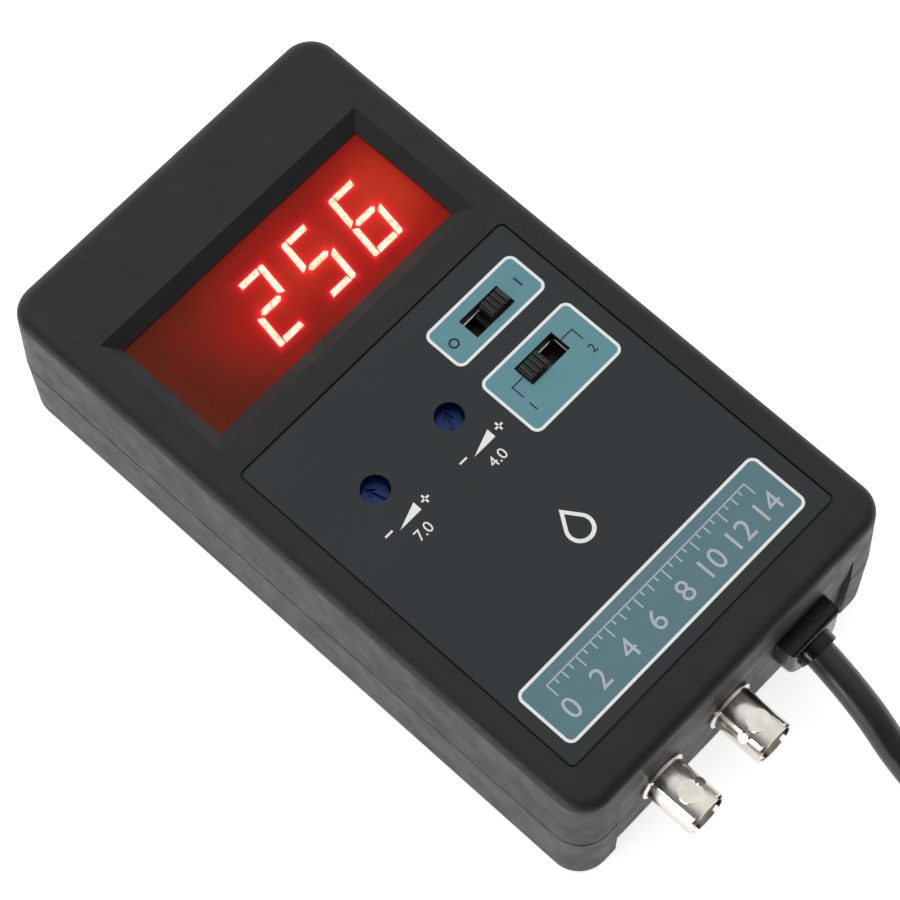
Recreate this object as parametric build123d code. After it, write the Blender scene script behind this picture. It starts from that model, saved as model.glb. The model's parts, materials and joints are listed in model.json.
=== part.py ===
"""Mains-powered pH and redox monitor: a two-part plastic housing with a four-digit LED display,
two slide switches, two trimmers, two BNC probe inputs and a mains lead put away in a coil.

Frame: millimetres, +Z up, +Y towards the display end, +X across. The origin is under the middle
of the monitor, probe inputs included and lead left out, on the surface that it lies on.
"""
import os
from math import atan2, cos, degrees, pi, radians, sin, tan

from build123d import *

# ---- driving dimensions: housing ----
HOUSING_WIDTH = 86.0  # at the seam between the covers
HOUSING_LENGTH = 152.6  # at the seam
HOUSING_HEIGHT = 39.4
SEAM_Z = 19.2
DRAFT = 1.5  # degrees, both ways from the seam
CORNER_R = 7.0
TOP_EDGE_R = 2.4
BOTTOM_EDGE_R = 1.2
WALL = 2.4
END_WALL = 4.4  # the end that carries the inputs
SEAM_CHAMFER = 0.35
LIP_WIDTH = 1.1  # tongue on the bottom cover that centres the top one
LIP_HEIGHT = 1.5
LIP_GAP = 0.15

# ---- probe inputs and lead exit, on one line at the seam ----
JACK_REACH = 11.1  # input tips past the housing's end
JACK_PITCH = 19.05
LEFT_JACK_X = -20.8
JACKS = {"left_jack": LEFT_JACK_X, "right_jack": LEFT_JACK_X + JACK_PITCH}
CORD_X = 18.0

HOUSING_Y = JACK_REACH / 2  # middle of the housing, so that the box of it and the inputs is centred
END_Y = HOUSING_Y - HOUSING_LENGTH / 2
DISPLAY_END_Y = HOUSING_Y + HOUSING_LENGTH / 2
CEILING_Z = HOUSING_HEIGHT - WALL
INNER_END_Y = END_Y + END_WALL

# Recess in the input end, between the corners: flush at its top, deepening downwards.
RECESS_HALF_WIDTH = 32.8
RECESS_TOP_Z = 29.8
RECESS_DEPTH_TOP_COVER = 0.9
RECESS_DEPTH_BOTTOM_COVER = 1.3
RECESS_DEPTH_AT_FLOOR = 1.9
RECESS_Y = END_Y + RECESS_DEPTH_TOP_COVER  # where the inputs' flanges seat

BARREL_R = 4.8
BARREL_LENGTH = JACK_REACH + RECESS_DEPTH_TOP_COVER  # from the seat to the tip
SOCKET_R = 4.05
FLANGE_R = 5.5
FLANGE_THICKNESS = 1.0
THREAD_R = 4.7
THREAD_LENGTH = 10.0
LUG_FROM_TIP = 4.6
LUG_R = 1.05
LUG_TURNS = {"left_jack": 58.0, "right_jack": 140.0}  # one lug's angle, up from +X; the other is opposite
INSULATOR_R = 2.5
CONTACT_R = 1.1
CONTACT_BORE_R = 0.68
CONTACT_BORE_DEPTH = 5.5
SEAT_GAP = 0.3  # round the flanges and the bushing's head, where they sink into the wall
WASHER_GAP = 0.35  # clears the draft of the wall's inner face

BUSHING_HALF_WIDTH = 6.85
BUSHING_TOP = 7.0
BUSHING_REACH = 4.75
BUSHING_BORE_END = 3.0
BUSHING_NECK_R = 5.6

# ---- front label ----
LABEL_WIDTH = 72.0
LABEL_LENGTH = 84.6
LABEL_Y = -19.05
LABEL_THICKNESS = 0.5
LABEL_POCKET_DEPTH = 0.6
LABEL_GROOVE = 0.45
LABEL_CORNER_R = 1.0

# ---- controls, measured from the label's centre ----
POWER_SWITCH = (20.4, LABEL_Y + 31.55)
MODE_SWITCH = (20.3, LABEL_Y + 17.1)
CAL_TRIMMER = (-20.8, LABEL_Y + 21.8)
SLOPE_TRIMMER = (-0.5, LABEL_Y + 21.8)
SLOT_LENGTH = 10.5
SLOT_WIDTH = 4.95
SLOT_RELIEF = 0.5  # the cover's slot is this much larger all round than the label's
SWITCH_TRAVEL = 4.7
KNOB_LENGTH = 5.3
KNOB_WIDTH = 3.5
KNOB_TOP_Z = HOUSING_HEIGHT + 1.1
TRIMMER_HOLE_R = 3.0
TRIMMER_RELIEF = 0.4
ROTOR_R = 2.9
ROTOR_TOP_Z = HOUSING_HEIGHT - 3.0
CAL_HEADING = 16.0  # degrees that the rotor's arrow is turned from +Y at rest
SLOPE_HEADING = -28.0
RUNNING_GAP = 0.08

# ---- display ----
WINDOW_Y = 45.65
WINDOW_WIDTH = 64.2  # the part of the filter that shows
WINDOW_LENGTH = 26.2
BEVEL_RUN = 3.1
BEVEL_DEPTH = 2.2
WINDOW_LIP = 0.4
FILTER_EDGE = 1.2  # filter hidden behind the lip all round
FILTER_THICKNESS = 2.0
DIGIT_PITCH = 13.2
DIGIT_BLOCK_X = 1.3
DIGIT_BODY = (12.9, 19.0, 7.9)
DIGIT_FACE_Z = 34.3
CHARACTER_WIDTH = 8.0
CHARACTER_HEIGHT = 15.3
SEGMENT_WIDTH = 1.3
SEGMENT_GAP = 0.22
SEGMENT_THICKNESS = 0.2
CHARACTER_SLANT = 9.0  # degrees
READING = ["", "abged", "afgcd", "afgecd"]  # lit segments, digit by digit

# ---- boards ----
BOARD_THICKNESS = 1.6
BOARD_TOP_Z = 26.4
BOARD_BOTTOM_Z = BOARD_TOP_Z - BOARD_THICKNESS
CONTROL_BOARD = (68.0, 76.0)
CONTROL_BOARD_Y = -18.5
DISPLAY_BOARD = (70.0, 46.8)
POWER_BOARD = (64.0, 66.0)
POWER_BOARD_Y = -16.0
POWER_BOARD_TOP_Z = 8.0
BOARD_BOSS_R = 2.8
BOARD_SCREW_R = 1.2
CONTROL_BOSSES = [(x, y) for x in (-31.2, 31.2) for y in (-52.0, 6.0)]
DISPLAY_BOSSES = [(x, y) for x in (-31.0, 31.0) for y in (24.9, 66.4)]
POWER_POSTS = [(x, y) for x in (-28.0, 28.0) for y in (-45.0, 13.0)]

# ---- housing screws ----
SCREW_POINTS = [(x, y) for x in (-35.4, 35.4) for y in (-60.8, 74.0)]
TOP_BOSS_R = 3.8
BOTTOM_BOSS_R = 4.4
SCREW_R = 1.45
SCREW_HEAD_R = 2.8
COUNTERBORE_R = 3.2
SCREW_SEAT_Z = 12.0
SCREW_TIP_Z = 27.0

# ---- mains lead ----
CORD_R = 3.25
CORD_EXIT_YAW = -3.0  # degrees towards -X
CORD_EXIT_PITCH = -16.0
COIL_MEAN_R = 36.0
COIL_LAYERS = 2
COIL_COLUMNS = 3
LAST_BEND_R = 29.0  # the cord's turn into the plug, on top of the coil
LAST_BEND_ANGLE = -90.0  # where on the coil that turn starts


def boxed(x, y, z, size_x, size_y, size_z):
    """A box centred on x, y that stands on z."""
    return Pos(x, y, z + size_z / 2) * Box(size_x, size_y, size_z)


def standing_cylinder(x, y, low, high, radius):
    return Pos(x, y, (low + high) / 2) * Cylinder(radius, high - low)


def group(parts):
    """Separate solids that share one node."""
    return Compound(children=list(parts))


def input_plane(x):
    """On the seat of an input or the bushing: local Z points out of the housing, local Y up."""
    return Plane(origin=(x, RECESS_Y, SEAM_Z), x_dir=(1, 0, 0), z_dir=(0, -1, 0))


def turned(x, low, high, radius):
    """A cylinder on an input's axis, between two distances out from its seat."""
    return input_plane(x) * Pos(0, 0, (low + high) / 2) * Cylinder(radius, high - low)


# ---- housing ----
def outline(grow=0.0):
    """The housing's plan at the seam."""
    radius = CORNER_R + grow
    shape = RectangleRounded(HOUSING_WIDTH + 2 * grow, HOUSING_LENGTH + 2 * grow, radius)
    return Pos(0, HOUSING_Y) * shape


def cavity_outline(grow=0.0):
    """The hollow's plan at the seam: the wall at the input end is the thicker one."""
    width = HOUSING_WIDTH - 2 * WALL + 2 * grow
    low, high = INNER_END_Y - grow, DISPLAY_END_Y - WALL + grow
    return Pos(0, (low + high) / 2) * RectangleRounded(width, high - low, CORNER_R - WALL + grow)


def from_seam(sketch, height):
    """A sketch at the seam drawn up, or down where height is negative, with the mould's draft."""
    return extrude(Pos(0, 0, SEAM_Z) * sketch, amount=height, taper=DRAFT)


def recess_cut(depth_at_seam, far_z, far_depth):
    """The slanted slice taken from the input end, from the seam to another height."""
    outside = END_Y - 5.0
    past_seam = SEAM_Z + (1.0 if far_z < SEAM_Z else -1.0)
    points = [
        (outside, past_seam),
        (END_Y + depth_at_seam, past_seam),
        (END_Y + depth_at_seam, SEAM_Z),
        (END_Y + far_depth, far_z),
        (outside, far_z),
    ]
    face = make_face(Polyline(*[(0, y, z) for y, z in points], close=True))
    return extrude(face, amount=RECESS_HALF_WIDTH, dir=(1, 0, 0), both=True)


def end_holes():
    """Through the end wall, for the inputs' threads and the bushing's neck, with flat seats."""
    holes = [turned(x, -END_WALL - 3, 6, THREAD_R + 0.25) for x in JACKS.values()]
    holes += [turned(x, 0, 6, FLANGE_R + SEAT_GAP) for x in JACKS.values()]
    holes.append(turned(CORD_X, -END_WALL - 3, 3, BUSHING_NECK_R + 0.2))
    width, height = 2 * (BUSHING_HALF_WIDTH + SEAT_GAP), 2 * (BUSHING_TOP + SEAT_GAP)
    holes.append(input_plane(CORD_X) * Pos(0, 0, 3) * Box(width, height, 6))
    return holes


def bevelled_opening():
    """The display opening: sloping sides down to a thin lip, then straight through."""
    lip_top = HOUSING_HEIGHT - BEVEL_DEPTH
    slope = degrees(atan2(BEVEL_RUN, BEVEL_DEPTH))
    opening = Pos(0, WINDOW_Y, lip_top) * Rectangle(WINDOW_WIDTH, WINDOW_LENGTH)
    slopes = extrude(opening, BEVEL_DEPTH + 0.5, taper=-slope)
    return slopes + boxed(0, WINDOW_Y, lip_top - 5, WINDOW_WIDTH, WINDOW_LENGTH, 5)


def top_cover():
    height = HOUSING_HEIGHT - SEAM_Z
    cover = from_seam(outline(), height)
    cover = fillet(cover.edges().group_by(Axis.Z)[-1], TOP_EDGE_R)
    cover = chamfer(cover.edges().group_by(Axis.Z)[0], SEAM_CHAMFER)
    cover -= from_seam(cavity_outline(), CEILING_Z - SEAM_Z)
    cover -= extrude(Pos(0, 0, SEAM_Z) * cavity_outline(LIP_WIDTH + LIP_GAP), LIP_HEIGHT + LIP_GAP)
    bosses = [standing_cylinder(x, y, SEAM_Z + 0.1, CEILING_Z + 0.5, TOP_BOSS_R) for x, y in SCREW_POINTS]
    bosses += [
        standing_cylinder(x, y, BOARD_TOP_Z, CEILING_Z + 0.5, BOARD_BOSS_R)
        for x, y in CONTROL_BOSSES + DISPLAY_BOSSES
    ]
    filter_bottom = HOUSING_HEIGHT - BEVEL_DEPTH - WINDOW_LIP - FILTER_THICKNESS
    frame = boxed(0, WINDOW_Y, filter_bottom, WINDOW_WIDTH + 9.8, WINDOW_LENGTH + 9.8, 3.0)
    cover = cover.fuse(*bosses, frame)
    pocket_gap = 0.1
    cuts = [
        boxed(
            0,
            WINDOW_Y,
            filter_bottom - 1,
            WINDOW_WIDTH + 2 * (FILTER_EDGE + pocket_gap),
            WINDOW_LENGTH + 2 * (FILTER_EDGE + pocket_gap),
            FILTER_THICKNESS + 1,
        ),
        bevelled_opening(),
        recess_cut(RECESS_DEPTH_TOP_COVER, RECESS_TOP_Z, (RECESS_TOP_Z - SEAM_Z) * tan(radians(DRAFT))),
        extrude(
            Pos(0, LABEL_Y, HOUSING_HEIGHT - LABEL_POCKET_DEPTH)
            * RectangleRounded(
                LABEL_WIDTH + 2 * LABEL_GROOVE,
                LABEL_LENGTH + 2 * LABEL_GROOVE,
                LABEL_CORNER_R + LABEL_GROOVE,
            ),
            2.0,
        ),
    ]
    for x, y in (POWER_SWITCH, MODE_SWITCH):
        cuts.append(
            boxed(x, y, CEILING_Z - 1, SLOT_LENGTH + 2 * SLOT_RELIEF, SLOT_WIDTH + 2 * SLOT_RELIEF, 5)
        )
    for x, y in (CAL_TRIMMER, SLOPE_TRIMMER):
        cuts.append(standing_cylinder(x, y, CEILING_Z - 1, HOUSING_HEIGHT + 1, TRIMMER_HOLE_R + TRIMMER_RELIEF))
    for x, y in SCREW_POINTS:
        cuts.append(standing_cylinder(x, y, SEAM_Z - 1, SCREW_TIP_Z + 1, SCREW_R + 0.05))
    for x, y in CONTROL_BOSSES + DISPLAY_BOSSES:
        cuts.append(standing_cylinder(x, y, BOARD_TOP_Z - 1, BOARD_TOP_Z + 6, BOARD_SCREW_R + 0.05))
    return cover.cut(*cuts, *end_holes())


def bottom_cover():
    cover = from_seam(outline(), -SEAM_Z)
    cover = fillet(cover.edges().group_by(Axis.Z)[0], BOTTOM_EDGE_R)
    cover = chamfer(cover.edges().group_by(Axis.Z)[-1], SEAM_CHAMFER)
    cover -= from_seam(cavity_outline(), WALL - SEAM_Z)
    lip = extrude(Pos(0, 0, SEAM_Z - 2) * cavity_outline(LIP_WIDTH), LIP_HEIGHT + 2)
    lip -= extrude(Pos(0, 0, SEAM_Z - 3) * cavity_outline(), LIP_HEIGHT + 4)
    bosses = [standing_cylinder(x, y, WALL - 0.5, SEAM_Z, BOTTOM_BOSS_R) for x, y in SCREW_POINTS]
    posts = [
        standing_cylinder(x, y, WALL - 0.5, POWER_BOARD_TOP_Z - BOARD_THICKNESS, BOARD_BOSS_R)
        for x, y in POWER_POSTS
    ]
    cover = cover.fuse(lip, *bosses, *posts)
    cuts = [recess_cut(RECESS_DEPTH_BOTTOM_COVER, -1.0, RECESS_DEPTH_AT_FLOOR)]
    for x, y in SCREW_POINTS:
        cuts.append(standing_cylinder(x, y, -1, SEAM_Z + 3, SCREW_R + 0.15))
        cuts.append(standing_cylinder(x, y, -1, SCREW_SEAT_Z, COUNTERBORE_R))
    for x, y in POWER_POSTS:
        cuts.append(standing_cylinder(x, y, WALL, POWER_BOARD_TOP_Z, BOARD_SCREW_R + 0.05))
    return cover.cut(*cuts, *end_holes())


def screw_up(x, y, seat, tip, radius, head_radius, head_height):
    """A cross-head screw driven upwards: its head is under its seat."""
    screw = standing_cylinder(x, y, seat - 0.05, tip, radius)
    screw += standing_cylinder(x, y, seat - 0.05 - head_height, seat - 0.05, head_radius)
    for size_x, size_y in ((head_radius, 0.5), (0.5, head_radius)):
        screw -= boxed(x, y, seat - head_height - 0.1, size_x, size_y, head_height * 0.6)
    return screw


def housing_screws():
    return group(
        screw_up(x, y, SCREW_SEAT_Z, SCREW_TIP_Z, SCREW_R, SCREW_HEAD_R, 2.0) for x, y in SCREW_POINTS
    )


def front_label():
    sheet = RectangleRounded(LABEL_WIDTH, LABEL_LENGTH, LABEL_CORNER_R)
    sheet = Pos(0, LABEL_Y) * sheet
    for x, y in (POWER_SWITCH, MODE_SWITCH):
        sheet -= Pos(x, y) * Rectangle(SLOT_LENGTH, SLOT_WIDTH)
    for x, y in (CAL_TRIMMER, SLOPE_TRIMMER):
        sheet -= Pos(x, y) * Circle(TRIMMER_HOLE_R)
    return extrude(Pos(0, 0, HOUSING_HEIGHT - LABEL_POCKET_DEPTH) * sheet, LABEL_THICKNESS)


# ---- display ----
def display_window():
    top = HOUSING_HEIGHT - BEVEL_DEPTH - WINDOW_LIP
    width, length = (size + 2 * FILTER_EDGE for size in (WINDOW_WIDTH, WINDOW_LENGTH))
    return boxed(0, WINDOW_Y, top - FILTER_THICKNESS, width, length, FILTER_THICKNESS)


def digit_x(index):
    return DIGIT_BLOCK_X + (index - 1.5) * DIGIT_PITCH


def display_digit(index):
    size_x, size_y, size_z = DIGIT_BODY
    body = boxed(digit_x(index), WINDOW_Y, DIGIT_FACE_Z - size_z, size_x, size_y, size_z)
    return chamfer(body.edges().group_by(Axis.Z)[-1], 0.3)


def segment_outline(name):
    """A bar's outline about the character's middle. The uprights own the corners, the rest fit between."""
    edge_x, edge_y = CHARACTER_WIDTH / 2, CHARACTER_HEIGHT / 2
    inner_x = edge_x - SEGMENT_WIDTH
    half, gap, corner = SEGMENT_WIDTH / 2, SEGMENT_GAP, 0.45
    if name in "bcef":
        points = [
            (inner_x, half + gap),
            (edge_x - 0.1, gap),
            (edge_x, gap + 0.2),
            (edge_x, edge_y - corner),
            (edge_x - corner, edge_y),
            (inner_x, edge_y - 0.15),
        ]
    elif name in "ad":
        reach = inner_x - gap
        points = [(-reach, edge_y), (reach, edge_y), (reach - 0.2, edge_y - SEGMENT_WIDTH)]
        points.append((0.2 - reach, edge_y - SEGMENT_WIDTH))
    else:
        tip, shoulder = inner_x, inner_x - half
        points = [(-tip, 0), (-shoulder, half), (shoulder, half), (tip, 0), (shoulder, -half), (-shoulder, -half)]
    flip_x = -1 if name in "ef" else 1
    flip_y = -1 if name in "cde" else 1
    return [(x * flip_x, y * flip_y) for x, y in points]


def segment(index, name):
    """One bar of a character, slanted with the whole character."""
    slant = tan(radians(CHARACTER_SLANT))
    points = [
        (digit_x(index) + x + y * slant, WINDOW_Y + y, DIGIT_FACE_Z) for x, y in segment_outline(name)
    ]
    return extrude(make_face(Polyline(*points, close=True)), SEGMENT_THICKNESS, dir=(0, 0, 1))


def decimal_point(index):
    x = digit_x(index) + DIGIT_BODY[0] / 2 - 1.2
    y = WINDOW_Y - CHARACTER_HEIGHT / 2 + 0.8
    return standing_cylinder(x, y, DIGIT_FACE_Z, DIGIT_FACE_Z + SEGMENT_THICKNESS, 0.75)


def segments(lit):
    bars = [
        segment(index, name)
        for index, reading in enumerate(READING)
        for name in "abcdefg"
        if (name in reading) == lit
    ]
    if not lit:
        bars += [decimal_point(index) for index in range(len(READING))]
    return group(bars)


# ---- boards ----
def board(size, y, top, holes, pin_holes=()):
    plate = boxed(0, y, top - BOARD_THICKNESS, size[0], size[1], BOARD_THICKNESS)
    cuts = [standing_cylinder(x, yy, top - 3, top + 1, BOARD_SCREW_R + 0.2) for x, yy in holes]
    cuts += [standing_cylinder(x, yy, top - 3, top + 1, 0.55) for x, yy in pin_holes]
    return plate.cut(*cuts)


def board_screws(points, seat):
    return group(screw_up(x, y, seat, seat + 6.5, BOARD_SCREW_R, 2.2, 1.4) for x, y in points)


def switch_pin_points():
    return [
        (x + dx, y + dy)
        for x, y in (POWER_SWITCH, MODE_SWITCH)
        for dx in (-4.0, 0.0, 4.0)
        for dy in (-2.0, 2.0)
    ]


def trimmer_pin_points():
    return [
        (x + dx, y + dy)
        for x, y in (CAL_TRIMMER, SLOPE_TRIMMER)
        for dx, dy in ((-2.54, -1.8), (0.0, 2.4), (2.54, -1.8))
    ]


CONVERTER = (0.0, -22.0, 52.0, 13.8, 3.6)  # middle, size: the display's driver
AMPLIFIERS = [(-18.0, -42.0, 9.6, 6.4, 3.3), (8.0, -42.0, 9.6, 6.4, 3.3)]
LEG_PITCH = 2.54


def chip_body(x, y, size_x, size_y, size_z):
    body = boxed(x, y, BOARD_TOP_Z + 0.5, size_x, size_y, size_z)
    body = chamfer(body.edges().group_by(Axis.Z)[-1], 0.3)
    return body - standing_cylinder(x - size_x / 2, y, BOARD_TOP_Z + size_z, BOARD_TOP_Z + size_z + 1, 0.9)


def chip_legs():
    """Legs down both long sides of every chip, standing on the board."""
    legs = []
    for x, y, size_x, size_y, _ in [CONVERTER] + AMPLIFIERS:
        count = int(size_x / LEG_PITCH)
        for step in range(count):
            leg_x = x + (step - (count - 1) / 2) * LEG_PITCH
            for side in (-1, 1):
                legs.append(boxed(leg_x, y + side * (size_y / 2 + 0.2), BOARD_TOP_Z, 0.5, 0.35, 2.2))
    return group(legs)


def board_ribbon():
    """Flat cable under the two boards, from the control board to the display board."""
    low = CONTROL_BOARD_Y + CONTROL_BOARD[1] / 2 - 4
    high = WINDOW_Y - DISPLAY_BOARD[1] / 2 + 5
    return boxed(0, (low + high) / 2, BOARD_BOTTOM_Z - 0.8, 38, high - low, 0.8)


# ---- slide switches ----
SWITCH_BASE = (14.0, 7.0)
FRAME_SHEET = 0.5
FRAME_TOP_Z = CEILING_Z - 0.3
SWITCH_BASE_TOP_Z = FRAME_TOP_Z - FRAME_SHEET
SWITCH_CAVITY = (12.6, 5.4)
SWITCH_FLOOR_Z = SWITCH_BASE_TOP_Z - 3.4
FOOT = (7.4, 5.1)
CONTACT_THICKNESS = 0.3
RIB_COUNT = 4
RIB_PITCH = 1.25
RIB_WIDTH = 0.65
RIB_HEIGHT = 0.6


def switch_base(x, y):
    base = boxed(x, y, BOARD_TOP_Z, *SWITCH_BASE, SWITCH_BASE_TOP_Z - BOARD_TOP_Z)
    return base - boxed(x, y, SWITCH_FLOOR_Z, *SWITCH_CAVITY, 5)


def switch_frame(x, y):
    """Pressed steel cap over the base, with the round-edged window that the knob moves in."""
    gap = 0.05
    width, length = (size + 2 * (gap + FRAME_SHEET) for size in SWITCH_BASE)
    hem_z = SWITCH_BASE_TOP_Z - 4.0
    cap = boxed(x, y, hem_z, width, length, FRAME_TOP_Z - hem_z)
    inside = (width - 2 * FRAME_SHEET, length - 2 * FRAME_SHEET)
    cap -= boxed(x, y, hem_z - 1, *inside, SWITCH_BASE_TOP_Z - hem_z + 1)
    cap -= boxed(x, y, hem_z, KNOB_LENGTH + SWITCH_TRAVEL + 0.4, KNOB_WIDTH + 0.3, 6)
    top = cap.faces().sort_by(Axis.Z)[-1]
    return fillet(top.inner_wires()[0].edges(), 0.35)


def switch_knob(x, y):
    """Foot inside the base, and a square shaft out through the cover with ribs on its end."""
    foot_z = SWITCH_FLOOR_Z + 2 * CONTACT_THICKNESS
    shaft_top_z = KNOB_TOP_Z - RIB_HEIGHT
    knob = boxed(x, y, foot_z, *FOOT, 2.6)
    knob += boxed(x, y, foot_z + 1, KNOB_LENGTH, KNOB_WIDTH, shaft_top_z - foot_z - 1)
    for step in range(RIB_COUNT):
        rib_x = x + (step - (RIB_COUNT - 1) / 2) * RIB_PITCH
        rib = boxed(rib_x, y, shaft_top_z - 0.1, RIB_WIDTH, KNOB_WIDTH, RIB_HEIGHT + 0.1)
        knob += chamfer(rib.edges().group_by(Axis.Z)[-1], 0.2)
    return knob


def switch_contact(x, y):
    """Sprung bridge that the knob carries across the terminals."""
    plate_z = SWITCH_FLOOR_Z + CONTACT_THICKNESS
    plate = boxed(x, y, plate_z, 5.8, 2.6, CONTACT_THICKNESS)
    for side in (-1, 1):
        plate -= Pos(x + side * 2.0, y, plate_z) * Cylinder(0.35, 2)
    return plate


def pins(points, low):
    return group(boxed(x, y, low, 0.6, 0.6, BOARD_TOP_Z - low) for x, y in points)


# ---- trimmers ----
def trimmer_body(x, y):
    body = boxed(x, y, BOARD_TOP_Z, 9.5, 9.5, 8.8)
    body = chamfer(body.edges().group_by(Axis.Z)[-1], 0.4)
    return body - standing_cylinder(x, y, 33.0, 36.0, ROTOR_R + RUNNING_GAP)


def trimmer_rotor(x, y, heading):
    """The adjuster: its screwdriver slot is an arrow that shows how far it is turned."""
    rotor = standing_cylinder(0, 0, 33.1, ROTOR_TOP_Z, ROTOR_R)
    rotor = chamfer(rotor.edges().group_by(Axis.Z)[-1], 0.2)
    slot_z = ROTOR_TOP_Z - 0.8
    rotor -= boxed(0, 0, slot_z, 0.6, 4.6, 2)
    for side in (-1, 1):
        rotor -= Pos(0, 2.1) * Rot(0, 0, side * 30) * boxed(0, -0.9, slot_z, 0.45, 2.0, 2)
    return Pos(x, y) * Rot(0, 0, heading) * rotor


# ---- probe inputs ----


def jack_shell(x, lug_turn):
    """Rolled and stamped receptacle: flange, barrel with two bayonet lugs, threaded shank."""
    shell = turned(x, 0, FLANGE_THICKNESS, FLANGE_R)
    shell = fillet(shell.edges().filter_by(GeomType.CIRCLE), 0.3)
    shell += turned(x, 0.2, BARREL_LENGTH, BARREL_R) + turned(x, -THREAD_LENGTH, 0.2, THREAD_R)
    lug_z = BARREL_LENGTH - LUG_FROM_TIP
    local = input_plane(x)
    seam = Pos(-0.7 * BARREL_R, 0.7 * BARREL_R, BARREL_LENGTH / 2 + 1) * Rot(0, 0, 45)
    shell -= local * seam * Box(0.5, 0.18, BARREL_LENGTH)
    for turn in (lug_turn, lug_turn + 180):
        shell += local * Rot(0, 0, turn) * Pos(4.85, 0, lug_z) * Rot(0, 90, 0) * Cylinder(LUG_R, 1.3)
    shell += local * Pos(0, 4.4, lug_z) * Rot(90, 0, 0) * Cylinder(2.4, 1.0)
    shell -= turned(x, 2.0, BARREL_LENGTH + 1, SOCKET_R)
    shell -= turned(x, -THREAD_LENGTH - 1, 3.0, INSULATOR_R + 0.05)
    for quarter in range(4):
        notch = Rot(0, 0, 45 + 90 * quarter) * Pos(BARREL_R, 0, BARREL_LENGTH) * Box(3, 1.5, 1.4)
        shell -= local * notch
    return shell


def jack_insulator(x):
    core = turned(x, -THREAD_LENGTH - 1, BARREL_LENGTH - 1.8, INSULATOR_R)
    return core - turned(x, -THREAD_LENGTH - 2, BARREL_LENGTH, CONTACT_R + 0.05)


def jack_contact(x):
    tip = BARREL_LENGTH - 2.2
    tail = -THREAD_LENGTH - 4
    contact = turned(x, tail, tip, CONTACT_R) - turned(x, tip - CONTACT_BORE_DEPTH, tip + 1, CONTACT_BORE_R)
    contact -= turned(x, tail - 1, tail + 2.5, 0.6)
    return contact - input_plane(x) * Pos(0, 0, tip - 2) * Box(0.25, 4, 4.2)


def jack_washer(x):
    """Toothed washer with the tag that the screen's wire is soldered to."""
    back = -(INNER_END_Y - RECESS_Y) - WASHER_GAP
    ring = turned(x, back - 0.6, back, 6.6)
    tag = input_plane(x) * Pos(0, -8.5, back - 0.3) * Box(3, 6, 0.6)
    return ring + tag - turned(x, back - 2, back + 1, THREAD_R + 0.05)


def jack_nut(x):
    back = -(INNER_END_Y - RECESS_Y) - WASHER_GAP - 0.6
    hexagon = extrude(input_plane(x) * Pos(0, 0, back - 2.4) * RegularPolygon(7.0, 6), 2.4)
    return hexagon - turned(x, back - 4, back + 1, THREAD_R + 0.05)


def wire(points, radius, bend):
    """A stiff wire through points, as straight runs joined by tangent arcs."""
    path = FilletPolyline(*points, radius=bend)
    start = Plane(origin=path @ 0, z_dir=path % 0)
    return sweep(start * Circle(radius), path=path)


def jack_leads():
    """Wires from the inputs' centre contacts up to the control board."""
    tail_y = RECESS_Y + THREAD_LENGTH + 4
    leads = []
    for x in JACKS.values():
        points = [(x, tail_y, SEAM_Z), (x, tail_y + 3.5, SEAM_Z), (x, tail_y + 3.5, BOARD_BOTTOM_Z)]
        leads.append(wire(points, 0.5, 1.5))
    return group(leads)


# ---- lead exit ----
NOSE_R = 4.3
NOSE_LENGTH = 1.3
EXIT_DIRECTION = Vector(
    sin(radians(CORD_EXIT_YAW)) * cos(radians(CORD_EXIT_PITCH)),
    -cos(radians(CORD_EXIT_YAW)) * cos(radians(CORD_EXIT_PITCH)),
    sin(radians(CORD_EXIT_PITCH)),
)
NOSE_START = Vector(CORD_X, RECESS_Y - BUSHING_REACH, SEAM_Z)
CORD_START = NOSE_START + EXIT_DIRECTION * NOSE_LENGTH


def cord_bushing():
    """Clamping bushing: a D-shaped head outside, a neck in the wall, a lip inside, a soft nose."""
    local = input_plane(CORD_X)
    half = BUSHING_HALF_WIDTH
    profile = Circle(half) + Pos(0, BUSHING_TOP / 2) * Rectangle(2 * half, BUSHING_TOP)
    head = extrude(local * profile, BUSHING_REACH)
    head = fillet(head.edges().group_by(Axis.Y)[0], 1.3)
    inner = INNER_END_Y - RECESS_Y
    neck = turned(CORD_X, -inner - 0.4, 0.1, BUSHING_NECK_R) + turned(CORD_X, -inner - 2.6, -inner - 0.4, 6.6)
    nose_length = NOSE_LENGTH + 2.0
    nose_middle = CORD_START - EXIT_DIRECTION * (nose_length / 2)
    nose = Plane(origin=nose_middle, z_dir=EXIT_DIRECTION) * Cylinder(NOSE_R, nose_length)
    bushing = head + neck + nose
    return bushing - turned(CORD_X, -inner - 4, BUSHING_BORE_END, CORD_R + 0.05)


def cord_tail():
    """The lead's end inside the bushing and the housing."""
    return turned(CORD_X, -12.0, BUSHING_BORE_END - 0.1, CORD_R)


def mains_wires():
    """The lead's two cores, from the end of its sheath to the terminal block."""
    tail_y = RECESS_Y + 12.0
    cores = []
    for side in (-1, 1):
        points = [
            (CORD_X + side * 1.5, tail_y, SEAM_Z),
            (CORD_X + side * 1.5, tail_y + 3.5, SEAM_Z),
            (CORD_X + side * 3.5, tail_y + 8.0, TERMINAL_WIRE_Z),
            (CORD_X + side * 3.5, TERMINAL_Y - TERMINAL_SIZE[1] / 2, TERMINAL_WIRE_Z),
        ]
        cores.append(wire(points, 1.1, 2.0))
    return group(cores)


# ---- power supply ----
TERMINAL_SIZE = (16.0, 9.0, 10.0)
TERMINAL_Y = -38.0
TERMINAL_WIRE_Z = 13.0


def power_board_boxed(x, y, size_x, size_y, size_z):
    return boxed(x, y, POWER_BOARD_TOP_Z, size_x, size_y, size_z)


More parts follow.
